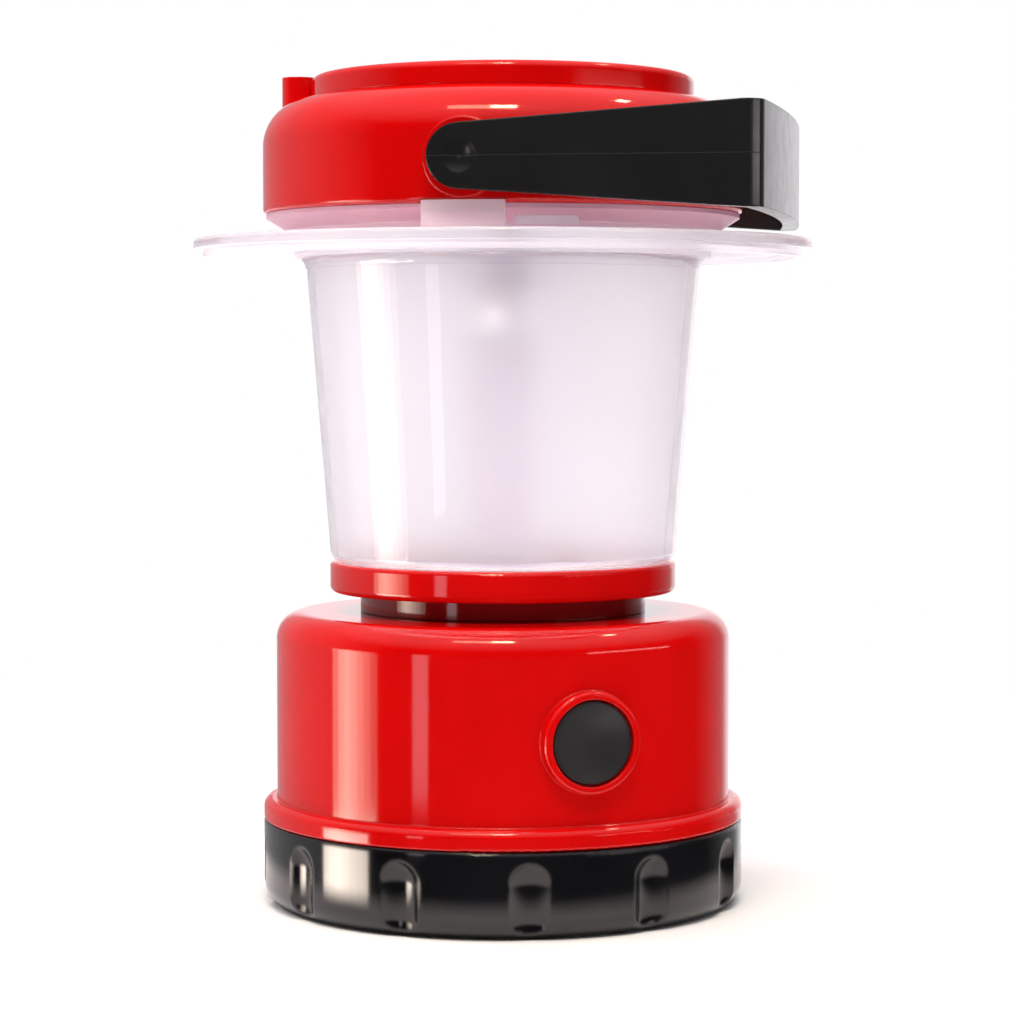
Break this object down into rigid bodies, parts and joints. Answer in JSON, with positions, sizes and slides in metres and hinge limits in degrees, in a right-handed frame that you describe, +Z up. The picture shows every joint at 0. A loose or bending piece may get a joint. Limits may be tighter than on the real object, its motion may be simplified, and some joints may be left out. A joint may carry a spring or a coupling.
{
  "type": "camping lantern",
  "caption": "Battery camping lantern with a screw base cap, clear brimmed globe, round head and swing handle.",
  "frame": {"origin": "centre of the standing rim on the floor, on the lantern's vertical axis", "axes": "+Z up along the lantern's axis; the handle pivots on an axis along Y and lies folded towards +X; the power button faces 30 degrees from -Y towards +X"},
  "size_m": [0.118, 0.118, 0.158],
  "materials": {
    "red_plastic": "gloss",
    "black_cap": "gloss",
    "black_handle": "satin",
    "black_button": "satin",
    "clear_globe": "gloss",
    "clear_lens": "gloss",
    "frosted_tube": "satin",
    "grey_plastic": "matte",
    "white_plastic": "matte",
    "seal_rubber": "matte",
    "steel": "satin",
    "plated_brass": "satin",
    "chrome_reflector": "gloss",
    "cell_jacket": "gloss",
    "board_green": "satin",
    "board_white": "satin",
    "phosphor": "satin",
    "component_black": "matte",
    "lead_red": "satin",
    "lead_black": "satin"
  },
  "bodies": {
    "lantern_body": {"base_housing": "red_plastic", "seal_ring": "seal_rubber", "battery_cradle": "grey_plastic", "battery_cells": "cell_jacket", "top_contacts": "plated_brass", "top_springs": "steel", "contact_cover": "grey_plastic", "cover_screws": "steel", "switch_body": "component_black", "switch_board": "board_green", "switch_screws": "steel", "globe_collar": "red_plastic", "collar_screws": "steel", "led_board": "board_white", "led_screws": "steel", "led_emitter": "phosphor", "led_lens": "clear_lens", "diffuser_tube": "frosted_tube", "board_parts": "component_black", "wire_battery_plus": "lead_red", "wire_battery_minus": "lead_black", "wire_led_plus": "lead_red", "globe": "clear_globe", "globe_seal": "seal_rubber", "reflector": "chrome_reflector", "reflector_screws": "steel", "head": "red_plastic", "top_cover": "red_plastic"},
    "battery_disc": {"contact_disc": "grey_plastic", "cap_contacts": "plated_brass", "cap_springs": "steel"},
    "screw_cap": {"base_cap": "black_cap", "disc_screw": "steel", "disc_washer": "steel"},
    "button": {"power_button": "black_button", "switch_plunger": "white_plastic"},
    "handle_bail": {"handle": "black_handle"}
  },
  "joints": [
    {"name": "handle_swing", "type": "hinge", "parent": "lantern_body", "child": "handle_bail", "pos_m": [0, 0, 0.1394], "axis": [0, -1, 0], "range_deg": [0, 180]},
    {"name": "button_press", "type": "slide", "parent": "lantern_body", "child": "button", "axis": [-0.5, 0.866, 0], "range_m": [0, 0.0012], "stiffness_N_per_m": 600, "springref_m": -0.0005},
    {"name": "cap_drop", "type": "slide", "parent": "lantern_body", "child": "battery_disc", "axis": [0, 0, -1], "range_m": [0, 0.008]},
    {"name": "cap_turn", "type": "hinge", "parent": "battery_disc", "child": "screw_cap", "pos_m": [0, 0, 0], "axis": [0, 0, -1], "range_deg": [0, 720]}
  ],
  "couplings": [
    {"joint": "cap_drop", "follows": "cap_turn", "m_per_rad": 0.00063662}
  ]
}
